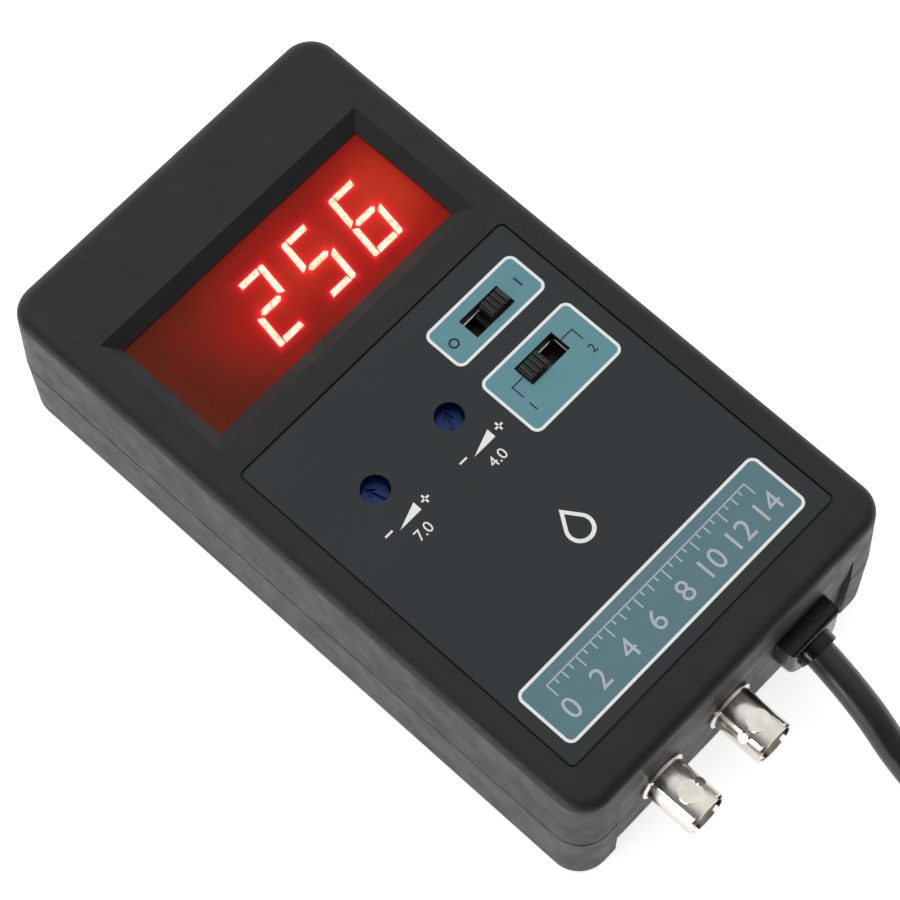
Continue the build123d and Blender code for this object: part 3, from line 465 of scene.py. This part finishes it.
def upright(x, y, middle_y):
    """Takes the characters' slant out of a place on the display."""
    return x - CHARACTER_SLANT * (y - middle_y), y


def loose_parts(mesh):
    """Vertex groups of a mesh's separate solids."""
    shape = bmesh.new()
    shape.from_mesh(mesh)
    bmesh.ops.remove_doubles(shape, verts=shape.verts, dist=0.001 * MM)
    waiting, parts = set(shape.verts), []
    while waiting:
        part, border = set(), [waiting.pop()]
        while border:
            vertex = border.pop()
            part.add(vertex)
            linked = {edge.other_vert(vertex) for edge in vertex.link_edges} & waiting
            waiting -= linked
            border.extend(linked)
        parts.append([vertex.co.copy() for vertex in part])
    shape.free()
    return parts


def lit_bars(middle_y):
    """Middle and half size of each lit bar, as if the characters stood upright."""
    bars = []
    for part in loose_parts(NODES["lit_segments"].data):
        places = [upright(corner.x, corner.y, middle_y) for corner in part]
        low, high = (Vector([f(axis) for axis in zip(*places)]) for f in (min, max))
        bars.append(((low + high) / 2, (high - low) / 2))
    return sorted(bars, key=lambda bar: tuple(round(axis, 5) for axis in bar[0]))


def display_face(name):
    """Dark face of the digits, with the red light that spills round each lit bar."""
    s = Surface(name, (0.03, 0.006, 0.005), 0.45)
    low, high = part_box("lit_segments")
    middle_y = (low.y + high.y) / 2
    axes = s.node("ShaderNodeSeparateXYZ")
    s.link(s.place, axes.inputs[0])
    lean = s.math("MULTIPLY", s.math("SUBTRACT", axes.outputs["Y"], middle_y), CHARACTER_SLANT)
    place = s.node("ShaderNodeCombineXYZ")
    s.link(s.math("SUBTRACT", axes.outputs["X"], lean), place.inputs["X"])
    s.link(axes.outputs["Y"], place.inputs["Y"])
    nearest = None
    for middle, half in lit_bars(middle_y):
        offset = s.vector("SUBTRACT", place.outputs[0], Vector((*middle, 0.0)))
        past = s.vector("SUBTRACT", s.vector("ABSOLUTE", offset), Vector((*half, 0.0)))
        distance = s.vector("LENGTH", s.vector("MAXIMUM", past, Vector((0.0, 0.0, 0.0))))
        nearest = distance if nearest is None else s.math("MINIMUM", nearest, distance)
    halo = s.math("EXPONENT", s.math("DIVIDE", nearest, -HALO_WIDTH))
    spill = s.math("EXPONENT", s.math("DIVIDE", nearest, -SPILL_WIDTH))
    total = s.math("ADD", s.math("MULTIPLY", halo, HALO_GLOW), s.math("MULTIPLY", spill, FACE_GLOW))
    s.link(total, s.shader.inputs["Emission Strength"])
    s.set("Emission Color", HALO_COLOUR)
    s.vary_roughness(2 * MM, 0.4, 0.5)
    s.bump(s.noise(0.4 * MM), 0.01 * MM)
    return s.material


def segment_lit():
    """Cream light with the mottling of the diffusing epoxy."""
    s = Surface("segment_lit", (0.9, 0.8, 0.6), 0.5)
    glow = s.ramp(
        s.noise(0.8 * MM, 3.0),
        [(0.36, (1.0, 0.5, 0.22)), (0.46, (1.0, 0.8, 0.48)), (0.58, (1.0, 0.97, 0.85))],
    )
    s.link(glow, s.shader.inputs["Emission Color"])
    s.set("Emission Strength", SEGMENT_GLOW)
    s.bump(s.noise(0.3 * MM), 0.01 * MM)
    return s.material


def spot(s, middle, reach):
    """1 at a place, falling to 0 at that reach along each axis."""
    offset = s.vector("DIVIDE", s.vector("SUBTRACT", s.place, middle), Vector((*reach, 1.0)))
    return s.between(s.vector("LENGTH", offset), 1.0, 0.0)


def display_filter():
    """Red acrylic with painted light: a painted glow, brightest round the reading and at one end, fading to
    dull brown at its edges.
    """
    s = Surface("display_filter", FILTER_PAINTED_LIGHT, 0.25)
    low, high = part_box("lit_segments")
    middle = (low + high) / 2
    # painted light: bright patches round the reading and at one end of the filter
    reading_light = spot(s, middle, PAINTED_READING_LIGHT_REACH)
    end = spot(s, middle + PAINTED_END_LIGHT, PAINTED_END_LIGHT_REACH)
    patches = s.math("MULTIPLY", s.math("SUBTRACT", s.noise(14 * MM, 2.0), 0.5), 0.5)
    share = s.math("ADD", s.math("ADD", reading_light, patches), s.math("MULTIPLY", end, PAINTED_END_LIGHT_SHARE))
    stops = [(0.1, FILTER_DULL), (0.55, FILTER_PAINTED_LIGHT), (1.0, FILTER_PAINTED_HOTSPOT)]
    colours = s.ramp(share, stops)
    s.link(colours, s.shader.inputs["Base Color"])
    # the filter glows faintly in the colours of its painted light
    s.link(colours, s.shader.inputs["Emission Color"])
    s.set("Emission Strength", FILTER_PAINTED_GLOW)
    s.set("Specular IOR Level", 0.1)
    s.set("Alpha", 0.6)
    s.vary_roughness(12 * MM, 0.2, 0.32)
    s.bump(s.noise(3 * MM, 2.0), 0.01 * MM)
    return s.material


def glass_tube():
    """The fuse's clear tube."""
    s = Surface("fuse_glass", (0.8, 0.83, 0.82), 0.08)
    s.vary_colour(4 * MM, 0.05)
    s.set("Alpha", 0.6)
    s.vary_roughness(3 * MM, 0.05, 0.14)
    s.bump(s.noise(1 * MM), 0.004 * MM)
    return s.material


def materials():
    """The record's slots and the material of each."""
    zinc = (0.55, 0.53, 0.48)
    near_black = (0.012, 0.012, 0.013)
    along_x, along_y = (8.0, 1.0, 1.0), (1.0, 8.0, 1.0)
    return {
        "housing_plastic": housing_plastic(),
        "label_film": label_film(),
        "display_filter": display_filter(),
        "segment_lit": segment_lit(),
        "segment_unlit": display_face("segment_unlit"),
        "digit_case": display_face("digit_case"),
        "circuit_board": circuit_board(),
        "chip_case": smooth_plastic("chip_case", near_black, 0.45, 0.6, 0.2 * MM, 0.01 * MM),
        "tinned_pin": metal("tinned_pin", (0.62, 0.61, 0.58), 0.25, 0.4),
        "ribbon_wire": banded("ribbon_wire", (0.36, 0.36, 0.35), (0.2, 0.2, 0.2), 1.27 * MM, "X", 0.5),
        "lead_sleeve": smooth_plastic("lead_sleeve", (0.42, 0.02, 0.015), 0.35, 0.5),
        "zinc_screw": metal("zinc_screw", zinc, 0.28, 0.45, (1.0, 1.0, 0.2), 0.01 * MM),
        "switch_plastic": smooth_plastic("switch_plastic", near_black, 0.3, 0.45),
        "switch_steel": metal("switch_steel", (0.6, 0.59, 0.57), 0.16, 0.3, along_x),
        "contact_brass": metal("contact_brass", (0.72, 0.5, 0.2), 0.25, 0.4),
        "trimmer_blue": smooth_plastic("trimmer_blue", (0.012, 0.045, 0.26), 0.3, 0.4),
        "rotor_blue": smooth_plastic("rotor_blue", (0.004, 0.036, 0.22), 0.28, 0.4, 0.5 * MM, 0.02 * MM, 0.3),
        "nickel": metal("nickel", (0.78, 0.74, 0.68), 0.1, 0.24, along_y, 0.006 * MM, 0.08),
        "insulator": smooth_plastic("insulator", (0.62, 0.6, 0.55), 0.35, 0.5),
        "contact_gold": metal("contact_gold", (0.83, 0.6, 0.2), 0.15, 0.28),
        "bushing_nylon": smooth_plastic(
            "bushing_nylon", (0.004, 0.004, 0.005), 0.16, 0.28, 0.9 * MM, 0.03 * MM, 0.3
        ),
        "cord_jacket": smooth_plastic(
            "cord_jacket", (0.014, 0.014, 0.015), 0.3, 0.42, 0.6 * MM, 0.012 * MM, 0.6
        ),
        "plug_plastic": smooth_plastic("plug_plastic", (0.01, 0.01, 0.011), 0.35, 0.48, 0.35 * MM, 0.02 * MM),
        "plug_metal": metal("plug_metal", (0.72, 0.68, 0.58), 0.16, 0.3, along_y),
        "terminal_plastic": smooth_plastic("terminal_plastic", (0.03, 0.16, 0.05), 0.4, 0.55),
        "fuse_glass": glass_tube(),
        "capacitor_sleeve": smooth_plastic("capacitor_sleeve", (0.012, 0.02, 0.07), 0.22, 0.35),
        "core_steel": banded("core_steel", (0.1, 0.095, 0.09), (0.05, 0.045, 0.04), 0.5 * MM, "Z", 0.5),
        "winding_tape": banded("winding_tape", (0.55, 0.4, 0.06), (0.42, 0.28, 0.04), 3 * MM, "Y", 0.35),
        "bracket_steel": metal("bracket_steel", zinc, 0.28, 0.45),
    }


def dress(made, lead_pieces):
    """Gives every carried-over part, the lead and its tie the material of its slot."""
    for entry in frame["record"]["subparts"]:
        node = NODES[entry["node"]]
        node.data.materials.clear()
        node.data.materials.append(made[entry["material_slot"]])
    for piece in lead_pieces:
        piece.data.materials.append(made["cord_jacket"])


# ---- printed front: everything is placed in millimetres from the label's centre ----
FILL_TOP = 0.03 * MM  # the inks stand this far above the film, still below the housing's surface
MARK_TOP = 0.055 * MM
PRINT_SINK = 0.01 * MM  # and reach this far into it
# from here on in millimetres
SHORTEST_EDGE = 0.001
OUTLINE = 0.62
PANEL_CORNER_R = 1.8
SLOT_SIZE = (10.5, 4.95)
SLOT_CORNER_R = 0.05
POWER_PANEL = (Vector((20.33, 31.83)), (24.45, 10.25))  # middle and size
RANGE_PANEL = (Vector((20.25, 14.6)), (24.5, 15.4))
SCALE_PANEL = (Vector((-0.4, -32.37)), (65.8, 14.25))
BRACKET_REACH = (5.25, 8.35)
BRACKET_DROP = 2.85
BRACKET_LINE = 0.26
POWER_MARK_X = (-9.2, 8.7)  # off and on
OFF_RING_R = (1.1, 0.72)  # outside and inside
ON_BAR_HALF = 0.95
ON_BAR_LINE = 0.4
RANGE_MARK_X = (-8.4, 8.2)
RANGE_MARK_Y = -5.5
RANGE_NUMBER_HEIGHT = 2.0
TRIMMER_MARK_Y = (-8.2, -12.5)  # of the signs and of the number below them
TRIMMER_SIGN_X = 4.9
TRIMMER_SIGN_HALF = 0.75
TRIMMER_SIGN_LINE = 0.42
TRIMMER_WEDGE = ((-2.9, -1.0), (2.9, -1.0), (2.9, 1.1))
TRIMMER_NUMBER_HEIGHT = 2.3
DROP_AT = Vector((-0.5, -10.5))
DROP_HEIGHT = 8.5
DROP_HOLE_HEIGHT = 6.3
DROP_HOLE_SHIFT = Vector((0.0, 0.25))
DROP_R_SHARE = 0.36  # of its height
DROP_ARC = (150, 240)  # degrees, start and sweep of its round end
BANNER_NUMBERS = range(0, 15, 2)
BANNER_PITCH = 3.9  # of one whole step of the scale
BANNER_LINE_Y = -28.2
BANNER_LINE = 0.3
BANNER_NUMBER_Y = -34.4
BANNER_NUMBER_HEIGHT = 4.4
TICK_LINE = 0.32
TICK_DROP = 0.25  # of a tick's top below the line's middle
TICK_EVEN, TICK_WHOLE, TICK_HALF = 2.4, 1.6, 0.9  # lengths at even, odd and half values


def rounded_box(middle, size, radius, steps=6):
    """Corner points of a rounded rectangle, anticlockwise."""
    points = []
    for quarter, (sx, sy) in enumerate(((1, 1), (-1, 1), (-1, -1), (1, -1))):
        centre = middle + Vector((sx * (size[0] / 2 - radius), sy * (size[1] / 2 - radius)))
        for step in range(steps + 1):
            angle = pi / 2 * (quarter + step / steps)
            points.append(centre + radius * Vector((cos(angle), sin(angle))))
    return points


def circle(middle, radius, steps=28):
    """Corner points of a circle, anticlockwise."""
    angles = [2 * pi * step / steps for step in range(steps)]
    return [middle + radius * Vector((cos(angle), sin(angle))) for angle in angles]


def stroke(start, end, width):
    """Outline of a straight line of that width."""
    along = (end - start).normalized() * width / 2
    side = Vector((-along.y, along.x))
    return [start - along + side, start - along - side, end + along - side, end + along + side]


def droplet(middle, height, steps=28):
    """A drop with its point up."""
    radius = height * DROP_R_SHARE
    centre = middle - Vector((0.0, height / 2 - radius))
    points = [middle + Vector((0.0, height / 2))]
    start, sweep = (radians(angle) for angle in DROP_ARC)
    for step in range(steps + 1):
        angle = start + sweep * step / steps
        points.append(centre + radius * Vector((cos(angle), sin(angle))))
    return points


def label_point(x, y):
    """A point on the label's surface, given in millimetres from its centre."""
    low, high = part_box("front_label")
    return Vector(((low.x + high.x) / 2 + x * MM, (low.y + high.y) / 2 + y * MM, high.z))


def ink(name, rings, material, top=FILL_TOP):
    """A printed shape with the given closed outlines. A ring inside another is a hole."""
    curve = bpy.data.curves.new(name, "CURVE")
    for ring in rings:
        spline = curve.splines.new("POLY")
        spline.points.add(len(ring) - 1)
        for control, point in zip(spline.points, ring):
            control.co = (point.x, point.y, 0.0, 1.0)
        spline.use_cyclic_u = True
    return raised_print(name, flat_mesh(name, curve), top, material)


def flat_mesh(name, curve):
    """The filled area of a flat curve or text, as a mesh."""
    curve.dimensions = "2D"
    curve.fill_mode = "BOTH"
    source = bpy.data.objects.new(name + "_outline", curve)
    mesh = bpy.data.meshes.new_from_object(source)
    bpy.data.objects.remove(source)
    mesh.name = name
    return mesh


def number(name, text, at, height, material):
    """A number centred on a point."""
    font = bpy.data.curves.new(name, "FONT")
    font.body = text
    mesh = flat_mesh(name, font)
    corners = [vertex.co for vertex in mesh.vertices]
    low = Vector([min(corner[axis] for corner in corners) for axis in range(3)])
    high = Vector([max(corner[axis] for corner in corners) for axis in range(3)])
    to_size = Matrix.Scale(height / (high.y - low.y), 4) @ Matrix.Translation(-(low + high) / 2)
    mesh.transform(Matrix.Translation((at.x, at.y, 0.0)) @ to_size)
    return raised_print(name, mesh, MARK_TOP, material)


def raised_print(name, mesh, top, material):
    """Gives a flat mesh in label millimetres its thickness and place, and fixes it to the housing."""
    shape = bmesh.new()
    shape.from_mesh(mesh)
    bmesh.ops.remove_doubles(shape, verts=shape.verts, dist=SHORTEST_EDGE)
    bmesh.ops.dissolve_degenerate(shape, edges=shape.edges, dist=SHORTEST_EDGE)
    raised = bmesh.ops.extrude_face_region(shape, geom=shape.faces[:])
    lift = [item for item in raised["geom"] if isinstance(item, bmesh.types.BMVert)]
    bmesh.ops.translate(shape, verts=lift, vec=(0.0, 0.0, (top + PRINT_SINK) / MM))
    bmesh.ops.recalc_face_normals(shape, faces=shape.faces)
    for face in shape.faces:
        face.smooth = False
    shape.to_mesh(mesh)
    shape.free()
    place = label_point(0.0, 0.0) - Vector((0.0, 0.0, PRINT_SINK))
    mesh.transform(Matrix.Translation(place) @ Matrix.Scale(MM, 4))
    mesh.materials.clear()
    mesh.materials.append(material)
    piece = bpy.data.objects.new(name, mesh)
    SCENE.collection.objects.link(piece)
    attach(piece, "housing")
    return piece


def in_label(node):
    """Middle of a CAD node, in millimetres from the label's centre."""
    low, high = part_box(node)
    offset = ((low + high) / 2 - label_point(0.0, 0.0)) / MM
    return Vector((offset.x, offset.y))


def add_panels(power, ranges, teal, slate, white):
    """The three outlined panels, two of them open round a switch."""
    panels = [
        ("power_panel", *POWER_PANEL, power, teal),
        ("range_panel", *RANGE_PANEL, ranges, teal),
        ("scale_panel", *SCALE_PANEL, None, slate),
    ]
    for name, middle, size, slot, fill in panels:
        inner = (size[0] - 2 * OUTLINE, size[1] - 2 * OUTLINE)
        outside = rounded_box(middle, size, PANEL_CORNER_R)
        inside = rounded_box(middle, inner, PANEL_CORNER_R - OUTLINE)
        ink(name + "_outline", [outside, inside], white)
        rings = [inside]
        if slot is not None:
            rings.append(rounded_box(slot, SLOT_SIZE, SLOT_CORNER_R, 1))
        ink(name + "_fill", rings, fill)


def add_switch_marks(power, ranges, black):
    """Off and on signs beside one switch; numbers on brackets beside the other."""
    off_mark, on_mark = (power + Vector((x, 0.0)) for x in POWER_MARK_X)
    ink("off_mark", [circle(off_mark, radius) for radius in OFF_RING_R], black, MARK_TOP)
    up = Vector((0.0, ON_BAR_HALF))
    ink("on_mark", [stroke(on_mark - up, on_mark + up, ON_BAR_LINE)], black, MARK_TOP)
    for side, x, text in zip((-1, 1), RANGE_MARK_X, "12"):
        near, far = (ranges + Vector((side * reach, 0.0)) for reach in BRACKET_REACH)
        drop = far - Vector((0.0, BRACKET_DROP))
        ink(f"range_{text}_bracket", [stroke(near, far, BRACKET_LINE)], black, MARK_TOP)
        ink(f"range_{text}_tail", [stroke(far, drop, BRACKET_LINE)], black, MARK_TOP)
        at = ranges + Vector((x, RANGE_MARK_Y))
        number(f"range_{text}_number", text, at, RANGE_NUMBER_HEIGHT, black)


def add_trimmer_marks(trimmer, name, text, white):
    """Less, a growing wedge and more, with the buffer's pH below."""
    signs_y, number_y = TRIMMER_MARK_Y
    middle = trimmer + Vector((0.0, signs_y))
    across, up = Vector((TRIMMER_SIGN_HALF, 0.0)), Vector((0.0, TRIMMER_SIGN_HALF))
    aside = Vector((TRIMMER_SIGN_X, 0.0))
    less, more = middle - aside, middle + aside
    for part, at, half in (("less", less, across), ("more_across", more, across), ("more_up", more, up)):
        ink(f"{name}_{part}", [stroke(at - half, at + half, TRIMMER_SIGN_LINE)], white, MARK_TOP)
    wedge = [middle + Vector(corner) for corner in TRIMMER_WEDGE]
    ink(name + "_wedge", [wedge], white, MARK_TOP)
    number(name + "_number", text, trimmer + Vector((0.0, number_y)), TRIMMER_NUMBER_HEIGHT, white)


def tick_length(half_steps):
    """Longest at even values, then at odd ones, shortest half-way."""
    if half_steps % 4 == 0:
        return TICK_EVEN
    if half_steps % 2 == 0:
        return TICK_WHOLE
    return TICK_HALF


def add_scale(pale):
    """A scale from 0 to 14 on the long panel, with a tick at each half."""
    last = BANNER_NUMBERS[-1]
    panel_middle = SCALE_PANEL[0]
    left = Vector((panel_middle.x - last / 2 * BANNER_PITCH, BANNER_LINE_Y))
    right = left + Vector((last * BANNER_PITCH, 0.0))
    ink("scale_line", [stroke(left, right, BANNER_LINE)], pale, MARK_TOP)
    for step in range(2 * last + 1):
        top = left + Vector((step * BANNER_PITCH / 2, -TICK_DROP))
        bottom = top - Vector((0.0, tick_length(step)))
        ink(f"scale_tick_{step}", [stroke(top, bottom, TICK_LINE)], pale, MARK_TOP)
    for value in BANNER_NUMBERS:
        at = Vector((left.x + value * BANNER_PITCH, BANNER_NUMBER_Y))
        number(f"scale_number_{value}", str(value), at, BANNER_NUMBER_HEIGHT, pale)


def add_printing():
    """All that is printed on the label, in five inks."""
    teal = print_ink("ink_teal", (0.132, 0.318, 0.366))
    slate = print_ink("ink_slate", (0.11, 0.225, 0.255))
    white = print_ink("ink_white", (0.96, 0.97, 0.96))
    pale = print_ink("ink_pale", (0.5, 0.54, 0.6))
    black = print_ink("ink_black", (0.012, 0.014, 0.015))
    power, ranges = in_label("power_switch_frame"), in_label("mode_switch_frame")
    add_panels(power, ranges, teal, slate, white)
    add_switch_marks(power, ranges, black)
    add_trimmer_marks(in_label("cal_trimmer_rotor"), "cal", "7.0", white)
    add_trimmer_marks(in_label("slope_trimmer_rotor"), "slope", "4.0", white)
    hole = droplet(DROP_AT - DROP_HOLE_SHIFT, DROP_HOLE_HEIGHT)
    ink("drop_mark", [droplet(DROP_AT, DROP_HEIGHT), hole], white, MARK_TOP)
    add_scale(pale)


# ---- stage ----
FLOOR_HALF = 30.0  # metres, so that its edge stays out of low views
FLOOR_GLOW = 0.7
BRIGHT_SIDE = Vector((0.45, 0.45, 0.77))
STUDIO_FADE = (0.0, 0.95, 0.14, 0.96)  # from and to along the bright side; strengths there
SOFTBOXES = [  # name, place, size and power
    ("back_softbox", (0.1, 0.95, 0.6), (0.7, 0.5), 2.5),
    ("left_strip", (-0.9, -0.02, 0.2), (0.5, 0.08), 3.2),
    ("right_strip", (0.9, 0.5, 0.25), (0.5, 0.08), 0.9),
]


def add_stage():
    """A large pale floor that glows softly."""
    mesh = bpy.data.meshes.new("floor")
    corners = [(x * FLOOR_HALF, y * FLOOR_HALF, 0) for x, y in ((-1, -1), (1, -1), (1, 1), (-1, 1))]
    mesh.from_pydata(corners, [], [(0, 1, 2, 3)])
    floor = bpy.data.objects.new("floor", mesh)
    s = Surface("floor_paper", (0.86, 0.86, 0.86), 0.8)
    s.vary_colour(400 * MM, 0.01)
    s.set("Specular IOR Level", 0.1)
    s.set("Emission Color", (1.0, 1.0, 1.0, 1.0))
    s.set("Emission Strength", FLOOR_GLOW)
    mesh.materials.append(s.material)
    SCENE.collection.objects.link(floor)


def add_softbox(name, place, size, power):
    """A rectangular lamp that looks at the origin."""
    data = bpy.data.lights.new(name, "AREA")
    data.shape = "RECTANGLE"
    data.size, data.size_y = size
    data.energy = power
    lamp = bpy.data.objects.new(name, data)
    SCENE.collection.objects.link(lamp)
    look = (-Vector(place)).to_track_quat("-Z", "Y").to_matrix().to_4x4()
    lamp.matrix_world = Matrix.Translation(place) @ look


def add_lights():
    """A pale studio, brighter overhead and behind the object, with one large lamp and two thin ones."""
    world = bpy.data.worlds.new("studio")
    world.use_nodes = True
    tree = world.node_tree
    background = tree.nodes["Background"]
    background.inputs["Color"].default_value = (1.0, 1.0, 1.0, 1.0)
    towards = tree.nodes.new("ShaderNodeVectorMath")
    towards.operation = "DOT_PRODUCT"
    towards.inputs[1].default_value = BRIGHT_SIDE.normalized()
    tree.links.new(tree.nodes.new("ShaderNodeTexCoord").outputs["Generated"], towards.inputs[0])
    fade = tree.nodes.new("ShaderNodeMapRange")
    fade.interpolation_type = "SMOOTHSTEP"
    for name, value in zip(("From Min", "From Max", "To Min", "To Max"), STUDIO_FADE):
        fade.inputs[name].default_value = value
    tree.links.new(towards.outputs["Value"], fade.inputs["Value"])
    tree.links.new(fade.outputs["Result"], background.inputs["Strength"])
    SCENE.world = world
    for softbox in SOFTBOXES:
        add_softbox(*softbox)
    SCENE.view_settings.view_transform = "Standard"


add_camera()
TIE = add_tie()
CORD = add_cord()
MADE = materials()
dress(MADE, [CORD, TIE])
add_printing()
add_stage()
add_lights()
